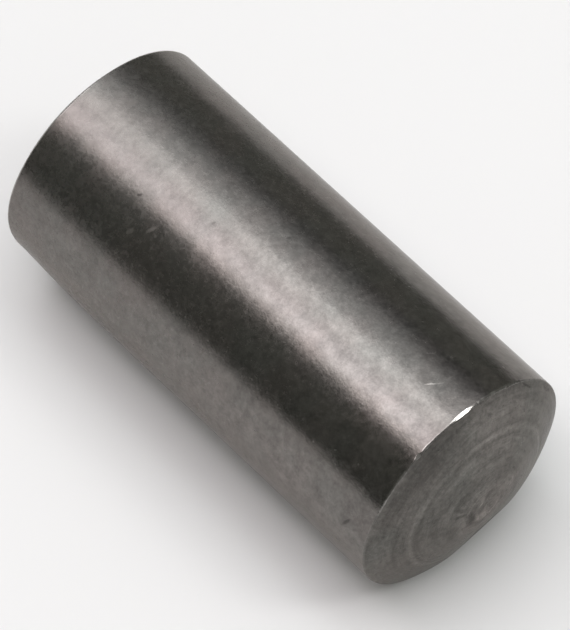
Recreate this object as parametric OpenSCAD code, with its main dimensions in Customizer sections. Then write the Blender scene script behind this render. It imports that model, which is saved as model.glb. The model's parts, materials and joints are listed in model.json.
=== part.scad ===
// Parallel dowel pin with crowned ends.
//
// A short steel pin that lines up two parts through a pair of reamed holes. It is turned from bar in
// one piece: a ground cylindrical shank, a lens-shaped crown on each end and a small rounding where
// they meet. The pin lies along X, with the origin on its axis at the middle of the shank.

/* [Shank] */

// Diameter of the ground shank
pin_d = 8; // [4:0.5:14]

// Length of the shank, from rim to rim without the crowns
shank_len = 16.3; // [8:0.1:80]

/* [Crowned ends] */

// Radius of the lens-shaped crown
crown_r = 7.8; // [5:0.1:30]

// Radius of the rounding that takes the burr off the rim
rim_edge_r = 0.08; // [0.02:0.01:0.4]

/* [Turned rings] */

// Distance from the rim in to the ring where the crown's two tool passes meet
pass_ring_inset = 1.28; // [0.6:0.02:1.6]

// Depth of that ring
pass_ring_depth = 0.02; // [0.005:0.005:0.05]

// Radius of the ring round the small pip that the tool leaves on the axis
pip_ring_r = 0.68; // [0.4:0.02:0.9]

// Depth of the ring round the pip
pip_ring_depth = 0.012; // [0.004:0.004:0.04]

// Nose radius of the turning tool, which is the section of both rings
tool_nose_r = 0.5; // [0.2:0.1:1.5]

/* [Hidden] */

pin_r = pin_d / 2;

// The crown's centre lies on the axis, where its sphere passes through the rim at full shank radius.
crown_centre = shank_len / 2 - sqrt(crown_r ^ 2 - pin_r ^ 2);

// The rim's rounding touches the shank from inside and the crown's sphere from inside.
edge_centre_r = pin_r - rim_edge_r;
edge_angle = asin(edge_centre_r / (crown_r - rim_edge_r));
edge_centre = crown_centre + (crown_r - rim_edge_r) * cos(edge_angle);

// A point this far from the crown's centre is well clear of the crown.
clear_of_crown = 2 * crown_r;

// Smooth round features, drawn as profiles and revolved
$fn = 180;

// All profiles below hold the radius in X and the distance along the pin in Y.

// One crown, out to the line from its centre through the centre of the rim's rounding
module crown_profile() {
    intersection() {
        translate([0, crown_centre]) circle(r = crown_r);
        polygon([
            [0, 0],
            [edge_centre_r, 0],
            [edge_centre_r, edge_centre],
            [clear_of_crown * sin(edge_angle), crown_centre + clear_of_crown * cos(edge_angle)],
            [0, crown_centre + clear_of_crown]
        ]);
    }
}

// Groove that the tool's nose leaves in the crown at a given radius from the axis
module ring_profile(ring_r, depth) {
    ring_angle = asin(ring_r / crown_r);
    nose_centre = crown_r + tool_nose_r - depth;
    translate([nose_centre * sin(ring_angle), crown_centre + nose_centre * cos(ring_angle)])
        circle(r = tool_nose_r);
}

// One end: the crown, the rim's rounding and the two turned rings
module end_profile() {
    difference() {
        union() {
            crown_profile();
            translate([edge_centre_r, edge_centre]) circle(r = rim_edge_r);
        }
        ring_profile(pin_r - pass_ring_inset, pass_ring_depth);
        ring_profile(pip_ring_r, pip_ring_depth);
    }
}

module pin() {
    color([0.60, 0.59, 0.58])
        rotate([0, 90, 0])
            rotate_extrude() {
                translate([0, -edge_centre]) square([pin_r, 2 * edge_centre]);
                end_profile();
                mirror([0, 1]) end_profile();
            }
}

pin();
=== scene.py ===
"""Steel dowel pin lying on a pale floor under a soft overhead light."""

import json
import math
from types import SimpleNamespace

import bmesh
import bpy
from mathutils import Matrix, Vector, noise


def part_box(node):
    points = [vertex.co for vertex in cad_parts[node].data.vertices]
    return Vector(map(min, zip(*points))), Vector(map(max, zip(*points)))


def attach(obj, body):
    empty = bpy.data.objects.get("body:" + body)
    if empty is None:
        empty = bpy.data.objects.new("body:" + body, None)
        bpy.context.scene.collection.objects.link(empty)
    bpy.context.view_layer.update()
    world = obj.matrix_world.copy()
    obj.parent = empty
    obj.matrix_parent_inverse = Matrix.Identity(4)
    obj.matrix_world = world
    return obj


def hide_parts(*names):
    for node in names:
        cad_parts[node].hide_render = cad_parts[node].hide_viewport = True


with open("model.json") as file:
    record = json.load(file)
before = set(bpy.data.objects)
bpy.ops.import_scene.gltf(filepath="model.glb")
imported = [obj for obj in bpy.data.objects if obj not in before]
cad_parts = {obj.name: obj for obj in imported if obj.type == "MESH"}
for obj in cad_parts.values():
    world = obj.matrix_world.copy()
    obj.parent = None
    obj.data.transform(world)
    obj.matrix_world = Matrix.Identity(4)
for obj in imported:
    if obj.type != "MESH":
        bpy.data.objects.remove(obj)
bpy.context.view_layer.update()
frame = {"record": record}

MM = 0.001

# ---------------------------------------------------------------- sizes of the pin

shank_mount = next(m for m in frame["record"]["mounts"] if m["name"] == "shank")
PIN_R = shank_mount["dims"]["r_mm"] * MM
HALF_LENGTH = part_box("pin")[1].x
CROWN_R = 7.8 * MM
CROWN_CENTRE = HALF_LENGTH - CROWN_R
RIM_X = CROWN_CENTRE + math.sqrt(CROWN_R**2 - PIN_R**2)

# Rings that the turning tool left in each crown: radius from the axis and depth. The radius of the
# tool's nose gives their width.
TURNED_RINGS = ((2.72 * MM, 0.012 * MM), (0.68 * MM, 0.006 * MM))
TOOL_NOSE_R = 0.5 * MM

# The rim's rounding, which swells and shrinks as barrel finishing left it. Three noises add up to
# that: how quickly each one changes round the rim, and its share of the swing
EDGE_R = 0.062 * MM
EDGE_R_SWING = 0.030 * MM
SLOW_PACE, SLOW_SHARE = 2.3, 0.5
QUICK_PACE, QUICK_SHARE = 17.0, 0.8
SPECKLE_PACE, SPECKLE_SHARE = 48.0, 0.25

# How brightly the rounding is worn, from 0 to 1, on the +X rim and on the -X rim
EDGE_WEAR = 0.07
FAR_EDGE_WEAR = 0.50

# Places where the +X rim is worn to a narrow flat: degrees round from the top towards -Y, half
# width in degrees, how much wider than the rounding, and how bright it is polished
RIM_FLATS = (
    (1.0, 4.9, 0.062 * MM, 0.72),
    (9.5, 2.5, -0.014 * MM, 0.05),
    (17.0, 3.2, 0.010 * MM, 0.14),
    (21.8, 2.4, 0.018 * MM, 0.30),
    (27.6, 1.5, 0.046 * MM, 0.46),
    (45.0, 12.0, 0.012 * MM, 0.25),
    (-8.0, 0.9, 0.020 * MM, 0.32),
    (-11.0, 0.9, 0.016 * MM, 0.36),
    (-17.5, 1.6, 0.028 * MM, 0.45),
    (-26.5, 1.0, 0.034 * MM, 0.20),
    (-24.0, 12.0, 0.022 * MM, 0.28),
)
# How much wider than the rounding a place has to be to count as quite flat, how far its full part
# spreads, and how far its polish comes and goes along the rim, which a bright one does less
FULL_FLAT = 0.04 * MM
FLAT_SPREAD = 1.6
POLISH_SWING = 0.9

# A shallow dent low on the +X crown: its place across and up, its radius and its depth
DENT_PLACE = (0.42 * MM, -2.60 * MM)
DENT_RADIUS = 0.85 * MM
DENT_DEPTH = 0.20 * MM

# The -X rim is knocked back low on its front: degrees round, the reach and the depth of the knock,
# and how far its direction leans from straight in to along the pin
KNOCK_TURN = 113.4
KNOCK_REACH = 1.8 * MM
KNOCK_DEPTH = 0.125 * MM
KNOCK_LEAN = math.radians(30.0)

# ---------------------------------------------------------------- the pin's mesh

SEGMENTS = 720
EDGE_STEPS = 8
SHANK_STEPS = 5
# Insets of the rings of vertices beside each rim, which keep its shading clean: on the shank, and
# on the crown
SHANK_INSETS = (0.012 * MM, 0.05 * MM, 0.35 * MM, 0.8 * MM, 1.4 * MM, 2.1 * MM, 3.0 * MM)
CROWN_INSETS = (0.010 * MM, 0.035 * MM)
# Steps across the crown, and the finer steps beside each turned ring
CROWN_STEP = 0.18 * MM
RING_STEP = 0.045 * MM
RING_REACH = 0.20 * MM
# Outside this radius, the rings of vertices on the crown shift with the rim's rounding.
SHIFT_R = 3.2 * MM


def outward(turn):
    """Direction out from the pin's axis, at an angle in degrees from the top towards -Y."""
    a = math.radians(turn)
    return Vector((0.0, -math.sin(a), math.cos(a)))


def rim_edge(end, turn):
    """Radius of the rim's rounding on one end (-1 or 1), at an angle in degrees from the top
    towards -Y, and how flat and how bright it is worn there, from 0 to 1."""
    a = math.radians(turn)
    around = Vector((math.cos(a), math.sin(a), 0.0))
    # The added vectors take each noise, and each end, from another place of the noise.
    slow = noise.noise(around * SLOW_PACE + Vector((7.0 * end, 0.0, 3.0)))
    quick = noise.noise(around * QUICK_PACE + Vector((0.0, 5.0 * end, 9.0)))
    speckle = noise.noise(around * SPECKLE_PACE + Vector((3.0, 11.0, 0.0)))
    uneven = SLOW_SHARE * slow + QUICK_SHARE * quick + SPECKLE_SHARE * speckle
    radius = EDGE_R + EDGE_R_SWING * uneven
    if end < 0:
        return radius, 0.0, FAR_EDGE_WEAR
    flat = 0.0
    polish = EDGE_WEAR
    for middle, half_width, extra, brightness in RIM_FLATS:
        off = (turn - middle + 180.0) % 360.0 - 180.0
        share = math.exp(-((off / half_width) ** 2))
        full = min(1.0, FLAT_SPREAD * share)
        swing = 1.0 + POLISH_SWING * speckle * (1.0 - brightness)
        radius += extra * share
        flat = max(flat, full * min(1.0, max(0.0, extra / FULL_FLAT)))
        polish = max(polish, full * brightness * swing)
    return radius, flat, polish


def ring_drop(r):
    """How far the turned rings lower the crown at a radius from the axis."""
    drop = 0.0
    for ring_r, depth in TURNED_RINGS:
        share = (r - ring_r) / math.sqrt(2 * depth * TOOL_NOSE_R)
        if abs(share) < 1.0:
            drop = max(drop, depth * (1.0 - share**2) ** 2)
    return drop


def dent_drop(y, z):
    """How far the dent lowers the +X crown along X."""
    away = math.hypot(y - DENT_PLACE[0], z - DENT_PLACE[1])
    return DENT_DEPTH * math.exp(-((away / DENT_RADIUS) ** 2))


def knocked(place):
    """A point of the -X end, moved in by the knock on its rim."""
    out = outward(KNOCK_TURN)
    away = (place - out * PIN_R - Vector((-RIM_X, 0, 0))).length
    inward = Vector((1, 0, 0)) * math.sin(KNOCK_LEAN) - out * math.cos(KNOCK_LEAN)
    return place + inward * (KNOCK_DEPTH * math.exp(-((away / KNOCK_REACH) ** 2)))


def crown_radii(rim_r):
    """Radii at which the crown has rings of vertices, from the rim in."""
    radii = []
    r = rim_r
    while r > CROWN_STEP:
        radii.append(r)
        near_ring = any(abs(r - ring_r) < RING_REACH for ring_r, _ in TURNED_RINGS)
        r -= RING_STEP if near_ring else CROWN_STEP
    return radii


def edge_points(centre_x, edge_r, lean, flat):
    """The rim's rounding, as places along and out from the axis, from the shank to the crown. It is
    an arc about a centre at centre_x, cut straight as far as it is flat."""
    centre_r = PIN_R - edge_r
    sweep = math.pi / 2 - lean
    start = (centre_x, PIN_R)
    stop = (centre_x + edge_r * math.sin(sweep), centre_r + edge_r * math.cos(sweep))
    points = []
    for k in range(EDGE_STEPS + 1):
        share = k / EDGE_STEPS
        t = sweep * share
        arc = (centre_x + edge_r * math.sin(t), centre_r + edge_r * math.cos(t))
        cut = [start[i] + (stop[i] - start[i]) * share for i in (0, 1)]
        points.append(tuple(arc[i] + (cut[i] - arc[i]) * flat for i in (0, 1)))
    return points


def half_outline(edge_r, flat, radii):
    """Half of the pin's outline, as places along and out from the axis, from the shank to the
    crown's middle. Its rim rounding touches the shank and the crown's sphere from inside."""
    lean = math.asin((PIN_R - edge_r) / (CROWN_R - edge_r))
    centre_x = CROWN_CENTRE + (CROWN_R - edge_r) * math.cos(lean)
    points = [(centre_x - inset, PIN_R) for inset in reversed(SHANK_INSETS)]
    points += edge_points(centre_x, edge_r, lean, flat)
    touch = CROWN_R * math.sin(lean)
    for inset in CROWN_INSETS:
        r = touch - inset
        points.append((CROWN_CENTRE + math.sqrt(CROWN_R**2 - r * r), r))
    for r in radii[1:]:
        r *= touch / radii[0] if r > SHIFT_R else 1.0
        along = math.sqrt(CROWN_R**2 - r * r)
        fall = 1.0 - ring_drop(r) / CROWN_R
        points.append((CROWN_CENTRE + along * fall, r * fall))
    return points


def half_column(mesh, worn, end, turn, radii):
    """Vertices along one end of the pin, at an angle round it, from the shank to the crown."""
    edge_r, flat, polish = rim_edge(end, turn)
    out = outward(turn)
    edge_first = len(SHANK_INSETS)
    half = []
    for k, (x, r) in enumerate(half_outline(edge_r, flat, radii)):
        place = out * r
        if end > 0 and k >= edge_first:
            x -= dent_drop(place.y, place.z)
        place += Vector((end * x, 0, 0))
        vert = mesh.verts.new(knocked(place) if end < 0 else place)
        vert[worn] = polish if edge_first <= k <= edge_first + EDGE_STEPS else 0.0
        half.append(vert)
    return half


def add_object(name, mesh):
    """A new object in the scene, made from a bmesh, which is freed."""
    data = bpy.data.meshes.new(name)
    mesh.to_mesh(data)
    mesh.free()
    made = bpy.data.objects.new(name, data)
    bpy.context.scene.collection.objects.link(made)
    return made


def make_pin():
    """The whole pin as one revolved mesh whose rim varies round each end."""
    mesh = bmesh.new()
    worn = mesh.verts.layers.float.new("worn")
    radii = crown_radii(CROWN_R * (PIN_R - EDGE_R) / (CROWN_R - EDGE_R))
    poles = [mesh.verts.new((end * HALF_LENGTH, 0, 0)) for end in (-1, 1)]
    columns = []
    for s in range(SEGMENTS):
        turn = 360.0 * s / SEGMENTS
        low, high = [half_column(mesh, worn, end, turn, radii) for end in (-1, 1)]
        first, last = low[0].co.x, high[0].co.x
        middle = []
        for k in range(1, SHANK_STEPS):
            x = first + (last - first) * k / SHANK_STEPS
            middle.append(mesh.verts.new(outward(turn) * PIN_R + Vector((x, 0, 0))))
        columns.append(low[::-1] + middle + high)
    for here, there in zip(columns, columns[1:] + columns[:1]):
        for k in range(len(here) - 1):
            mesh.faces.new((here[k], here[k + 1], there[k + 1], there[k]))
        mesh.faces.new((poles[0], here[0], there[0]))
        mesh.faces.new((here[-1], poles[1], there[-1]))
    bmesh.ops.recalc_face_normals(mesh, faces=mesh.faces)
    for face in mesh.faces:
        face.smooth = True
    return add_object("dowel_pin", mesh)


# ---------------------------------------------------------------- node helpers

# A Mix node has sockets for every kind of value. These are its colour ones.
MIX_A, MIX_B, MIX_RESULT = 6, 7, 2

# Nearly all of a noise lies between the first and the last of these values, about the middle one.
NOISE_LOW, NOISE_MIDDLE, NOISE_HIGH = 0.3, 0.5, 0.7


class Graph:
    """Short ways to add and join the nodes of one material."""

    def __init__(self, tree):
        self.tree = tree
        tree.nodes.clear()

    def add(self, kind, inputs=None, **settings):
        """A new node with its settings and its inputs, each a value or another node's output."""
        node = self.tree.nodes.new(kind)
        for key, value in settings.items():
            setattr(node, key, value)
        for key, value in (inputs or {}).items():
            self.put(node.inputs[key], value)
        return node

    def put(self, socket, value):
        if isinstance(value, bpy.types.NodeSocket):
            self.tree.links.new(value, socket)
        else:
            socket.default_value = value

    def math(self, operation, *values):
        node = self.add("ShaderNodeMath", operation=operation)
        for socket, value in zip(node.inputs, values):
            self.put(socket, value)
        return node.outputs[0]

    def vector(self, operation, *values, output=0, scale=None):
        node = self.add("ShaderNodeVectorMath", operation=operation)
        for socket, value in zip(node.inputs, values):
            self.put(socket, value)
        if scale is not None:
            self.put(node.inputs["Scale"], scale)
        return node.outputs[output]

    def split(self, vector):
        """The X, Y and Z of a vector."""
        return self.add("ShaderNodeSeparateXYZ", {"Vector": vector}).outputs

    def join(self, **parts):
        """A vector with the given X, Y and Z, which are 0 where they aren't given."""
        return self.add("ShaderNodeCombineXYZ", parts).outputs[0]

    def noise(self, vector, scale, detail, roughness, output="Fac"):
        inputs = {"Vector": vector, "Scale": scale, "Detail": detail, "Roughness": roughness}
        return self.add("ShaderNodeTexNoise", inputs).outputs[output]

    def ramp(self, value, low, high, to_low=0.0, to_high=1.0, smooth=True):
        """The value, taken from low and high to two other values, and held there beyond them."""
        node = self.add("ShaderNodeMapRange")
        node.interpolation_type = "SMOOTHSTEP" if smooth else "LINEAR"
        numbers = {"From Min": low, "From Max": high, "To Min": to_low, "To Max": to_high}
        self.put(node.inputs["Value"], value)
        for name, number in numbers.items():
            self.put(node.inputs[name], number)
        return node.outputs[0]

    def spread(self, noise, low, high):
        """A noise, taken to values from low to high."""
        return self.ramp(noise, NOISE_LOW, NOISE_HIGH, low, high, smooth=False)

    def blend(self, share, a, b):
        """The value a where the share is 0, turning to b where it is 1."""
        return self.ramp(share, 0.0, 1.0, a, b, smooth=False)

    def mix_colour(self, factor, a, b, blend="MIX"):
        node = self.add("ShaderNodeMix", data_type="RGBA", blend_type=blend)
        self.put(node.inputs["Factor"], factor)
        self.put(node.inputs[MIX_A], a)
        self.put(node.inputs[MIX_B], b)
        return node.outputs[MIX_RESULT]


def new_material(name):
    material = bpy.data.materials.new(name)
    material.use_nodes = True
    return material, Graph(material.node_tree)


# ---------------------------------------------------------------- steel

# The steel's own colour in its cooler and its warmer places, the colour of its worn edges, what
# tints and darkens it on the crowns and about their middles, partly for their turned finish and
# partly as painted shade, and its colour where it is seen at a slant
STEEL_NEUTRAL = (0.173, 0.165, 0.156, 1.0)
STEEL_WARM = (0.183, 0.168, 0.159, 1.0)
STEEL_WORN = (0.55, 0.53, 0.51, 1.0)
CROWN_TINT_AND_PAINTED_SHADE = (0.738, 0.765, 0.751, 1.0)
CROWN_MIDDLE_TINT_AND_PAINTED_SHADE = (0.789, 0.788, 0.777, 1.0)
SLANT_TINT = (0.79, 0.77, 0.75, 1.0)
# Values of a noise between which the steel turns from the cooler to the warmer colour
CLOUD_EDGES = (0.35, 0.65)

# Where the shank's finish turns to the crown's, in millimetres along the pin past the rim
CROWN_FINISH = (-0.05, 0.01)
# Where the torn middle of a crown fades, in millimetres from the axis, and what is left outside it
MIDDLE_REACH = (0.5, 1.8)
MIDDLE_REST = 0.2

# Noises of the steel, taken of places in millimetres: scale, detail and roughness
WAVE_NOISE = (0.75, 1.0, 0.5)
GRAIN_NOISE = (7.0, 2.0, 0.6)
FINE_NOISE = (20.0, 1.0, 0.5)
CLOUD_NOISE = (0.55, 3.0, 0.55)
PATCH_NOISE = (2.2, 3.0, 0.6)
PIT_NOISE = (6.5, 2.0, 0.7)
MOTTLE_NOISE = (2.3, 4.0, 0.82)
WOBBLE_NOISE = (9.0, 1.0, 0.5)
RING_NOISE = (11.0, 3.0, 0.75)
SLOW_RING_NOISE = (2.6, 2.0, 0.5)
RING_FADE_NOISE = (0.45, 2.0, 0.5)
TORN_NOISE = (3.2, 4.0, 0.7)
SMEAR_NOISE = (6.0, 3.0, 0.75)
# How far some noises are shifted, in millimetres, so that no two of them look alike
PIT_SHIFT = (3.0, 19.0, 5.0)
MOTTLE_SHIFT = (31.0, 7.0, 3.0)
SLOW_RING_SHIFT = (11.0, 0.0, 0.0)
SMEAR_SHIFT = (5.0, 13.0, 17.0)
# The mottle is a little narrower along the pin than round it.
MOTTLE_STRETCH = (1.12, 1.0, 1.0)
# The rings on a crown are noise that changes on the way out from the axis. On the way round, it is
# taken from a circle of this radius, in millimetres, so that a ring changes a little.
RING_DRIFT = 0.31
# How far the edges of marks wander, in millimetres
WOBBLE = 0.05

# Heights of the surface texture, in millimetres
WAVE_HEIGHT = 0.014
GRAIN_HEIGHT = 0.0030
FINE_HEIGHT = 0.0010
TURNED_HEIGHT = 0.010
TORN_HEIGHT = 0.010

# Tones of the surface, from the low to the high end of each noise
PIT_TONES = (0.90, 1.06)
RING_TONES = (0.85, 1.15)
SLOW_RING_TONES = (0.82, 1.18)
SMEAR_TONES = (0.80, 1.20)
# Contrast of the mottle, and between which places along the pin it changes, in millimetres. The
# crowns have a share of it.
MOTTLE_X = (-8.0, 4.0)
MOTTLE_CONTRAST = (0.84, 1.32)
CROWN_MOTTLE = 0.6
# Contrast of the torn middle of a crown
TEAR_CONTRAST = 1.7

# Rings of lighter and darker turning on each crown: radius and half width in millimetres, and tone
TURNED_TONES = (
    (1.40, 0.34, 0.87),
    (2.22, 0.26, 1.10),
    (2.54, 0.09, 0.84),
    (2.71, 0.12, 1.32),
    (2.90, 0.12, 0.92),
    (3.30, 0.10, 1.07),
    (4.00, 0.60, 0.88),
)
# On its way round, a ring's tone comes and goes: the values of a noise between which it does, and
# from how much of its tone to how much
RING_FADE_EDGES = (0.35, 0.65)
RING_FADE = (0.50, 1.20)

# Roughness of the steel over its patches, and what is added from one end of the shank to the
# other, between two values of the pits' noise, on the crowns and in specks. Worn edges have their
# own.
PATCH_ROUGHNESS = (0.225, 0.250)
SHANK_X = (-8.0, 8.0)
ALONG_ROUGHNESS = (0.030, -0.028)
PIT_EDGES = (0.30, 0.75)
PIT_ROUGHNESS = (-0.022, 0.055)
CROWN_ROUGHNESS = 0.08
SPECK_ROUGHNESS = 0.11
WORN_ROUGHNESS = 0.12

# Specks scattered over the shank: how closely they lie, which draws of their cells show one, how
# they fade from their middle in cells, and their tone
SPECKS_PER_MM = 2.0
SPECK_DRAWS = (0.55, 1.0)
SPECK_FADE = (0.04, 0.17)
SPECK_TONE = 1.12

# Marks left by use on the shank: millimetres along the pin and degrees round it at each end of the
# mark, width in millimetres, tone and added roughness
MARKS = (
    (6.67, 2.1, 6.83, -0.8, 0.060, 2.0, 0.0),
    (6.87, -1.4, 6.98, -4.0, 0.042, 1.5, 0.0),
    (6.88, 1.2, 7.12, -1.6, 0.160, 0.86, 0.0),
    (5.87, -9.1, 6.01, -11.9, 0.050, 1.25, 0.05),
    (-4.33, 26.5, -4.30, 25.9, 0.110, 0.50, 0.05),
    (-3.85, 41.8, -3.79, 40.2, 0.160, 1.35, 0.06),
    (-3.30, 34.9, -3.22, 32.7, 0.140, 1.45, 0.07),
    (7.17, 78.4, 7.34, 73.5, 0.120, 0.60, 0.0),
    (7.60, 76.2, 7.68, 75.2, 0.130, 0.86, 0.0),
    (0.08, -4.7, 0.10, -5.3, 0.100, 0.75, 0.0),
    (-1.90, 13.6, -1.88, 13.0, 0.090, 0.75, 0.0),
    (8.00, 61.6, 8.07, 59.2, 0.250, 1.20, 0.0),
)

# Strokes torn or smeared about the middle of the +X crown: millimetres across and up at each end,
# width and tone
CROWN_STROKES = (
    (-0.14, 0.30, -0.40, 0.06, 0.12, 1.36),
    (-0.40, 0.06, -0.27, -0.58, 0.13, 1.36),
    (-0.46, 0.30, -0.56, -0.44, 0.28, 0.68),
    (-0.60, 0.02, -0.56, -0.28, 0.30, 0.68),
    (-0.24, -0.80, -0.04, -0.88, 0.20, 0.70),
    (-1.14, 0.43, -0.86, 0.31, 0.18, 0.62),
    (-1.11, 0.80, -0.79, 0.50, 0.20, 0.72),
    (-0.64, 0.51, -0.30, 0.66, 0.17, 1.24),
    (0.05, 0.52, -0.09, 0.20, 0.18, 0.70),
    (-0.71, 1.16, -0.97, 0.99, 0.44, 0.80),
    (-1.05, -0.18, -1.28, -0.54, 0.20, 0.74),
    (-0.90, 0.18, -0.80, -0.52, 0.14, 1.20),
    (0.98, 1.48, 1.27, 0.50, 0.44, 0.80),
    (2.45, 3.03, 2.64, 2.72, 0.09, 0.62),
    (3.43, 1.70, 3.51, 1.56, 0.12, 0.55),
    (3.30, 1.94, 3.36, 1.84, 0.10, 0.68),
    (1.91, 2.96, 1.99, 2.88, 0.11, 1.34),
    (0.76, 3.42, 0.84, 3.36, 0.11, 0.75),
)

# Broader patches on the +X crown. Most are the steel's own tone, and some are painted light:
# painted highlights on the main ring and on the crown's top, and painted shade on its back rim.
# Each has millimetres across and up from its middle, radius and tone
CROWN_PATCHES_AND_PAINTED_LIGHT = (
    (-0.55, -0.15, 0.50, 0.88),
    (0.05, -0.34, 0.44, 1.28),
    (0.42, -0.12, 0.26, 1.10),
    (0.45, -0.95, 0.85, 1.20),
    (-0.80, -0.78, 0.26, 1.14),
    (-1.68, 0.13, 0.30, 0.88),
    (0.70, 0.88, 0.32, 0.86),
    (1.20, 0.20, 0.42, 1.16),
    (-0.15, 1.02, 0.36, 1.12),
    (-0.33, 2.12, 0.38, 1.12),
    (-1.86, 1.43, 0.50, 1.10),
    # Painted highlight on the right of the main ring
    (1.12, 2.15, 0.45, 1.10),
    # Painted light: the crown's top made lighter
    (0.70, 3.40, 1.00, 1.24),
    (-1.55, 3.20, 1.10, 0.82),
    (-1.10, 2.30, 0.40, 0.90),
    (-2.90, 1.40, 1.80, 0.85),
    (2.90, 1.70, 0.80, 0.88),
    # Painted shade over the reflection on the crown's back rim
    (3.70, -0.10, 1.30, 0.58),
)

# From its middle, a stroke reaches this share of its length and width together along itself, and
# half its width to each side. It fades between these shares of that reach, and a patch between
# these shares of its radius.
STROKE_REACH = 0.6
STROKE_FADE = (0.5, 1.2)
PATCH_FADE = (0.3, 1.3)


def shank_point(along, turn):
    """A point on the shank, in millimetres, from its place along and round the pin."""
    return Vector((along, 0.0, 0.0)) + outward(turn) * (PIN_R / MM)


def crown_point(across, up):
    """A point on the +X crown, in millimetres, from its place across and up the pin."""
    along = CROWN_CENTRE + math.sqrt(CROWN_R**2 - (across**2 + up**2) * MM**2)
    return Vector((along / MM, across, up))


def stroke_mask(g, place, first, last, out, width):
    """1 inside a stroke between two points of a surface that faces out, and 0 away from it."""
    along = last - first
    across = along.cross(out).normalized()
    offset = g.vector("SUBTRACT", place, tuple((first + last) / 2))
    axes = (
        along.normalized() / (STROKE_REACH * (along.length + width)),
        across / (width / 2),
        out,
    )
    shares = [g.vector("DOT_PRODUCT", offset, tuple(axis), output="Value") for axis in axes]
    away = g.vector("LENGTH", g.join(**dict(zip("XYZ", shares))), output="Value")
    return g.ramp(away, *STROKE_FADE, 1.0, 0.0)


def shade_by(g, shade, mask, tone):
    """The shade, multiplied by a tone where the mask is 1."""
    return g.math("MULTIPLY", shade, g.math("MULTIPLY_ADD", mask, tone - 1.0, 1.0))


def add_marks(g, place, shade, rough):
    """The marks on the shank, added to its shade and roughness."""
    for x0, turn0, x1, turn1, width, tone, extra_rough in MARKS:
        first, last = shank_point(x0, turn0), shank_point(x1, turn1)
        middle = (first + last) / 2
        out = Vector((0.0, middle.y, middle.z)).normalized()
        mask = stroke_mask(g, place, first, last, out, width)
        shade = shade_by(g, shade, mask, tone)
        rough = g.math("MULTIPLY_ADD", mask, extra_rough, rough)
    return shade, rough


def add_crown_marks(g, place, shade):
    """The strokes and patches on the +X crown, added to its shade. Some patches are painted light
    and shade.
    """
    centre = Vector((CROWN_CENTRE / MM, 0.0, 0.0))
    for y0, z0, y1, z1, width, tone in CROWN_STROKES:
        first, last = crown_point(y0, z0), crown_point(y1, z1)
        out = ((first + last) / 2 - centre).normalized()
        shade = shade_by(g, shade, stroke_mask(g, place, first, last, out, width), tone)
    for y, z, radius, tone in CROWN_PATCHES_AND_PAINTED_LIGHT:
        away = g.vector("DISTANCE", place, tuple(crown_point(y, z)), output="Value")
        near, far = (share * radius for share in PATCH_FADE)
        shade = shade_by(g, shade, g.ramp(away, near, far, 1.0, 0.0), tone)
    return shade


def steel_places(g):
    """The places, masks and noises that the parts of the steel share."""
    mm = g.vector("SCALE", g.add("ShaderNodeTexCoord").outputs["Object"], scale=1.0 / MM)
    parts = g.split(mm)
    across = g.join(Y=parts["Y"], Z=parts["Z"])
    out = g.vector("LENGTH", across, output="Value")
    along = g.math("ABSOLUTE", parts["X"])
    wobble = g.noise(mm, *WOBBLE_NOISE, output="Color")
    wobble = g.vector("SUBTRACT", wobble, (NOISE_MIDDLE, NOISE_MIDDLE, NOISE_MIDDLE))
    drift = g.vector("SCALE", g.vector("NORMALIZE", across), scale=RING_DRIFT)
    polar = g.vector("ADD", drift, g.join(X=out))
    return SimpleNamespace(
        mm=mm,
        x=parts["X"],
        out=out,
        ragged=g.vector("ADD", mm, g.vector("SCALE", wobble, scale=WOBBLE)),
        on_crown=g.ramp(along, *(RIM_X / MM + past for past in CROWN_FINISH)),
        near_middle=g.ramp(out, *MIDDLE_REACH, 1.0, MIDDLE_REST),
        grain=g.noise(mm, *GRAIN_NOISE),
        pits=g.noise(g.vector("ADD", mm, PIT_SHIFT), *PIT_NOISE),
        torn=g.noise(mm, *TORN_NOISE),
        rings=g.noise(polar, *RING_NOISE),
        slow_rings=g.noise(g.vector("ADD", polar, SLOW_RING_SHIFT), *SLOW_RING_NOISE),
    )


def steel_height(g, at):
    """Height of the surface texture, in millimetres."""
    shank = g.math("MULTIPLY", g.noise(at.mm, *FINE_NOISE), FINE_HEIGHT)
    shank = g.math("MULTIPLY_ADD", at.grain, GRAIN_HEIGHT, shank)
    shank = g.math("MULTIPLY_ADD", g.noise(at.mm, *WAVE_NOISE), WAVE_HEIGHT, shank)
    crown = g.math("MULTIPLY", at.rings, TURNED_HEIGHT)
    torn = g.math("MULTIPLY", at.torn, at.near_middle)
    crown = g.math("MULTIPLY_ADD", torn, TORN_HEIGHT, crown)
    crown = g.math("MULTIPLY_ADD", at.grain, GRAIN_HEIGHT, crown)
    return g.blend(at.on_crown, shank, crown)


def turned_shade(g, at):
    """How light or dark the turned surface of a crown is."""
    shade = g.spread(at.rings, *RING_TONES)
    shade = g.math("MULTIPLY", shade, g.spread(at.slow_rings, *SLOW_RING_TONES))
    smear = g.noise(g.vector("ADD", at.mm, SMEAR_SHIFT), *SMEAR_NOISE)
    shade = g.math("MULTIPLY", shade, g.spread(smear, *SMEAR_TONES))
    tear = g.math("MULTIPLY", g.math("SUBTRACT", at.torn, NOISE_MIDDLE), at.near_middle)
    shade = g.math("MULTIPLY", shade, g.math("MULTIPLY_ADD", tear, TEAR_CONTRAST, 1.0))
    fade = g.ramp(g.noise(at.mm, *RING_FADE_NOISE), *RING_FADE_EDGES, *RING_FADE)
    for radius, half_width, tone in TURNED_TONES:
        off = g.math("ABSOLUTE", g.math("SUBTRACT", at.out, radius))
        mask = g.math("MULTIPLY", g.ramp(off, 0.0, half_width, 1.0, 0.0), fade)
        shade = shade_by(g, shade, mask, tone)
    return shade


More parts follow.
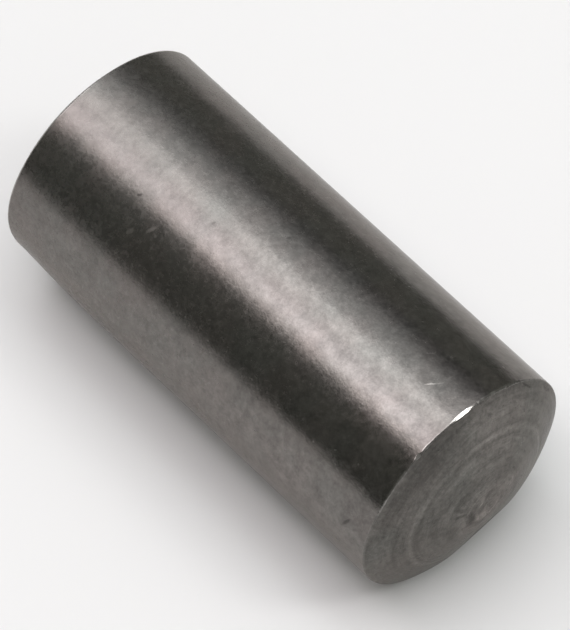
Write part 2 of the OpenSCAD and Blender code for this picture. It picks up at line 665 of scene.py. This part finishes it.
def steel_shade(g, at):
    """How light or dark the steel is against its own colour, without its marks."""
    contrast = g.ramp(at.x, *MOTTLE_X, *MOTTLE_CONTRAST)
    contrast = g.math("MULTIPLY", contrast, g.blend(at.on_crown, 1.0, CROWN_MOTTLE))
    ground = g.vector("MULTIPLY", g.vector("ADD", at.mm, MOTTLE_SHIFT), MOTTLE_STRETCH)
    mottle = g.math("SUBTRACT", g.noise(ground, *MOTTLE_NOISE), NOISE_MIDDLE)
    shade = g.math("MULTIPLY_ADD", mottle, contrast, 1.0)
    shade = g.math("MULTIPLY", shade, g.spread(at.pits, *PIT_TONES))
    return g.math("MULTIPLY", shade, g.blend(at.on_crown, 1.0, turned_shade(g, at)))


def steel_roughness(g, at):
    """Roughness of the steel, without its marks."""
    rough = g.ramp(g.noise(at.mm, *PATCH_NOISE), NOISE_LOW, NOISE_HIGH, *PATCH_ROUGHNESS)
    rough = g.math("ADD", rough, g.ramp(at.x, *SHANK_X, *ALONG_ROUGHNESS, smooth=False))
    rough = g.math("ADD", rough, g.ramp(at.pits, *PIT_EDGES, *PIT_ROUGHNESS, smooth=False))
    return g.math("MULTIPLY_ADD", at.on_crown, CROWN_ROUGHNESS, rough)


def shank_specks(g, at):
    """1 inside the specks scattered over the shank, and 0 elsewhere."""
    cells = g.add("ShaderNodeTexVoronoi", {"Vector": at.ragged, "Scale": SPECKS_PER_MM}).outputs
    chosen = g.ramp(g.split(cells["Color"])["X"], *SPECK_DRAWS)
    inside = g.ramp(cells["Distance"], *SPECK_FADE, 1.0, 0.0)
    speck = g.math("MULTIPLY", inside, chosen)
    return g.math("MULTIPLY", speck, g.math("SUBTRACT", 1.0, at.on_crown))


def make_steel():
    """Satin ground steel on the shank and turned steel on the crowns, with their wear and marks,
    and with painted light and shade on the crowns.
    """
    material, g = new_material("ground_steel")
    at = steel_places(g)
    specks = shank_specks(g, at)
    shade = shade_by(g, steel_shade(g, at), specks, SPECK_TONE)
    rough = g.math("MULTIPLY_ADD", specks, SPECK_ROUGHNESS, steel_roughness(g, at))
    shade, rough = add_marks(g, at.ragged, shade, rough)
    shade = add_crown_marks(g, at.ragged, shade)

    clouds = g.ramp(g.noise(at.mm, *CLOUD_NOISE), *CLOUD_EDGES)
    colour = g.mix_colour(clouds, STEEL_NEUTRAL, STEEL_WARM)
    # The crowns are darkened partly for their turned finish and partly with painted shade.
    tint = g.mix_colour(at.near_middle, CROWN_TINT_AND_PAINTED_SHADE, CROWN_MIDDLE_TINT_AND_PAINTED_SHADE)
    crown_colour = g.mix_colour(1.0, colour, tint, blend="MULTIPLY")
    colour = g.vector("SCALE", g.mix_colour(at.on_crown, colour, crown_colour), scale=shade)
    worn = g.add("ShaderNodeAttribute", attribute_name="worn").outputs["Fac"]
    bump = g.add("ShaderNodeBump", {"Height": steel_height(g, at), "Strength": 1.0, "Distance": MM})
    steel = {
        "Base Color": g.mix_colour(worn, colour, STEEL_WORN),
        "Metallic": 1.0,
        "Roughness": g.blend(worn, rough, WORN_ROUGHNESS),
        "Specular Tint": SLANT_TINT,
        "Normal": bump.outputs[0],
    }
    shader = g.add("ShaderNodeBsdfPrincipled", steel)
    g.add("ShaderNodeOutputMaterial", {"Surface": shader.outputs[0]})
    return material


# ---------------------------------------------------------------- floor, lights and camera

FLOOR_SIDE = 2.4
FLOOR_COLOUR = (0.83, 0.83, 0.825, 1.0)
FLOOR_ROUGHNESS = 0.9
FLOOR_GLOSS = 0.2
# The floor lies a hair below the pin, so that the two share no face.
FLOOR_GAP = 0.004 * MM
# Faint clouds in the card: a noise of places in millimetres, and their tone
CARD_NOISE = (0.05, 2.0, 0.5)
CARD_TONE = 0.985
# The card darkens towards +Y, outside the photo's frame: between which places, and to what tone
FLOOR_FADE_Y = (0.032, 0.130)
FLOOR_FADE_TONE = 0.62


def make_card():
    """Plain pale card, faintly clouded, which darkens behind the pin."""
    material, g = new_material("pale_card")
    place = g.add("ShaderNodeTexCoord").outputs["Object"]
    clouds = g.noise(g.vector("SCALE", place, scale=1.0 / MM), *CARD_NOISE)
    darker = tuple(c * CARD_TONE for c in FLOOR_COLOUR[:3]) + (1.0,)
    colour = g.mix_colour(clouds, FLOOR_COLOUR, darker)
    fade = g.ramp(g.split(place)["Y"], *FLOOR_FADE_Y, 1.0, FLOOR_FADE_TONE)
    card = {
        "Base Color": g.vector("SCALE", colour, scale=fade),
        "Roughness": FLOOR_ROUGHNESS,
        "Specular IOR Level": FLOOR_GLOSS,
    }
    shader = g.add("ShaderNodeBsdfPrincipled", card)
    g.add("ShaderNodeOutputMaterial", {"Surface": shader.outputs[0]})
    return material


def make_floor():
    mesh = bmesh.new()
    bmesh.ops.create_grid(mesh, x_segments=2, y_segments=2, size=FLOOR_SIDE / 2)
    floor = add_object("floor", mesh)
    floor.location.z = -PIN_R - FLOOR_GAP
    floor.data.materials.append(make_card())


# The soft overhead panel: its height, its length along the pin, and its colour and brightness
# towards each side. Each stop has degrees from straight up (positive towards -Y), a share of full
# brightness and a tint.
PANEL_HEIGHT = 0.30
PANEL_LENGTH = 0.405
PANEL_CENTRE_X = -0.0825
PANEL_RADIANCE = 3.29
# The panel falls off towards -X: where it is dim and where it is full, and how dim
PANEL_FADE_X = (-0.225, -0.065)
PANEL_DIM = 0.80
PLAIN = (1.0, 1.0, 1.0)
COOL = (0.982, 1.0, 1.01)
WARM = (1.065, 0.988, 0.965)
PINK = (1.035, 0.99, 1.02)
PANEL_STOPS = (
    (-56.0, 0.00, COOL),
    (-42.0, 0.15, COOL),
    (-30.0, 0.355, COOL),
    (-20.0, 0.44, COOL),
    (-15.0, 0.48, COOL),
    (-10.5, 1.04, COOL),
    (-5.0, 1.20, COOL),
    (-2.0, 0.82, PLAIN),
    (9.0, 0.77, PINK),
    (14.0, 1.27, PINK),
    (18.5, 1.20, PINK),
    (22.0, 1.00, PINK),
    (26.0, 0.96, WARM),
    (31.4, 0.00, WARM),
)

# A small lamp high up beyond the +X end: its direction, distance, sides and brightness
KEY_DIRECTION = (0.53, 0.32, 0.79)
KEY_DISTANCE = 0.45
KEY_SIDES = (0.09, 0.14)
KEY_RADIANCE = 8.0

# The room: dim towards -Y and a little lighter towards +Y, and between which values of a
# direction's Y it turns from one to the other
WORLD_FRONT = (0.163, 0.171, 0.153, 1.0)
WORLD_BACK = (0.230, 0.240, 0.217, 1.0)
WORLD_TURN_Y = (-0.5, 0.9)
# It is lighter beyond both ends of the pin: between which values of a direction's X that grows, and
# how much later it does at -X
WORLD_SIDE = (0.46, 0.46, 0.45, 1.0)
WORLD_TURN_X = (0.25, 0.85)
WORLD_FAR_LAG = 0.22
# Near the floor it is dimmer: between which values of a direction's Z, and down to what share of
# its light towards -Y and towards +Y
WORLD_TURN_Z = (0.1, 0.55)
WORLD_LOW_FRONT = 0.70
WORLD_LOW_BACK = 0.88


def panel_y(angle):
    """Where a line from the pin meets the panel, leaning by an angle in degrees towards -Y."""
    return -math.tan(math.radians(angle)) * PANEL_HEIGHT


def make_glow(low, depth):
    """Light that shines down only, with the panel's stops across it from low to low + depth."""
    material, g = new_material("soft_panel_light")
    parts = g.split(g.add("ShaderNodeTexCoord").outputs["Object"])
    across = g.ramp(parts["Y"], -depth / 2, depth / 2, smooth=False)
    stripes = g.add("ShaderNodeValToRGB", {"Fac": across})
    elements = stripes.color_ramp.elements
    while len(elements) < len(PANEL_STOPS):
        # Its place is set below, with its colour.
        elements.new(0.5)
    for element, (angle, level, tint) in zip(elements, reversed(PANEL_STOPS)):
        element.position = (panel_y(angle) - low) / depth
        element.color = [level * t for t in tint] + [1.0]
    downwards = g.math("SUBTRACT", 1.0, g.add("ShaderNodeNewGeometry").outputs["Backfacing"])
    fade_x = (x - PANEL_CENTRE_X for x in PANEL_FADE_X)
    fade = g.ramp(parts["X"], *fade_x, PANEL_DIM, 1.0)
    strength = g.math("MULTIPLY", g.math("MULTIPLY", downwards, fade), PANEL_RADIANCE)
    glow = g.add("ShaderNodeEmission", {"Color": stripes.outputs[0], "Strength": strength})
    g.add("ShaderNodeOutputMaterial", {"Surface": glow.outputs[0]})
    return material


def make_panel():
    """The soft overhead panel, which is a mesh that glows and which the camera doesn't see."""
    low = panel_y(PANEL_STOPS[-1][0])
    high = panel_y(PANEL_STOPS[0][0])
    depth = high - low
    mesh = bmesh.new()
    # A square of side 1, scaled to the panel's sides
    sides = Matrix.Diagonal((PANEL_LENGTH, depth, 1.0, 1.0))
    bmesh.ops.create_grid(mesh, x_segments=1, y_segments=1, size=0.5, matrix=sides)
    for face in mesh.faces:
        face.normal_flip()
    panel = add_object("soft_panel", mesh)
    panel.location = (PANEL_CENTRE_X, (high + low) / 2, PANEL_HEIGHT)
    panel.visible_camera = False
    panel.data.materials.append(make_glow(low, depth))


def make_key():
    """The small lamp, which shines on the pin's middle."""
    light = bpy.data.lights.new("key", "AREA")
    light.shape = "RECTANGLE"
    light.size, light.size_y = KEY_SIDES
    light.energy = KEY_RADIANCE * math.pi * KEY_SIDES[0] * KEY_SIDES[1]
    key = bpy.data.objects.new("key", light)
    key.location = Vector(KEY_DIRECTION).normalized() * KEY_DISTANCE
    key.rotation_mode = "QUATERNION"
    key.rotation_quaternion = (-key.location).to_track_quat("-Z", "Y")
    key.visible_camera = False
    bpy.context.scene.collection.objects.link(key)


def make_world():
    """The dim room, seen in every direction where nothing else is."""
    world = bpy.data.worlds.new("studio")
    world.use_nodes = True
    g = Graph(world.node_tree)
    parts = g.split(g.add("ShaderNodeTexCoord").outputs["Generated"])
    colour = g.mix_colour(g.ramp(parts["Y"], *WORLD_TURN_Y), WORLD_FRONT, WORLD_BACK)
    far_side = g.math("MULTIPLY_ADD", parts["X"], -1.0, -WORLD_FAR_LAG)
    side = g.ramp(g.math("MAXIMUM", parts["X"], far_side), *WORLD_TURN_X)
    colour = g.mix_colour(side, colour, WORLD_SIDE)
    low = g.ramp(parts["Y"], *WORLD_TURN_Y, WORLD_LOW_FRONT, WORLD_LOW_BACK)
    colour = g.vector("SCALE", colour, scale=g.ramp(parts["Z"], *WORLD_TURN_Z, low, 1.0))
    glow = g.add("ShaderNodeBackground", {"Color": colour})
    g.add("ShaderNodeOutputWorld", {"Surface": glow.outputs[0]})
    bpy.context.scene.world = world


# Where the camera stands: degrees round from +X, degrees up, and its distance from its aim
CAMERA_TURN = -42.361
CAMERA_RISE = 57.363
CAMERA_DISTANCE = 165.15 * MM
CAMERA_AIM = Vector((0.153, 0.137, -0.016)) * MM
# The camera's own sizes, in its millimetres, and the nearest and farthest that it sees
CAMERA_LENS = 307.02
CAMERA_SENSOR = 36.0
CAMERA_NEAR = 5 * MM
CAMERA_FAR = 10.0


def make_camera():
    """The photo's view, as fitted to the pin's outline."""
    data = bpy.data.cameras.new("camera")
    data.sensor_width = CAMERA_SENSOR
    data.lens = CAMERA_LENS
    data.clip_start = CAMERA_NEAR
    data.clip_end = CAMERA_FAR
    camera = bpy.data.objects.new("camera", data)
    turn, rise = math.radians(CAMERA_TURN), math.radians(CAMERA_RISE)
    level = math.cos(rise)
    back = Vector((math.cos(turn) * level, math.sin(turn) * level, math.sin(rise)))
    camera.location = CAMERA_AIM + back * CAMERA_DISTANCE
    camera.rotation_mode = "QUATERNION"
    camera.rotation_quaternion = (-back).to_track_quat("-Z", "Y")
    bpy.context.scene.collection.objects.link(camera)
    bpy.context.scene.camera = camera


pin = make_pin()
pin.data.materials.append(make_steel())
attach(pin, "root")
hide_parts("pin")

make_floor()
make_panel()
make_key()
make_world()
make_camera()
bpy.context.scene.view_settings.view_transform = "Standard"
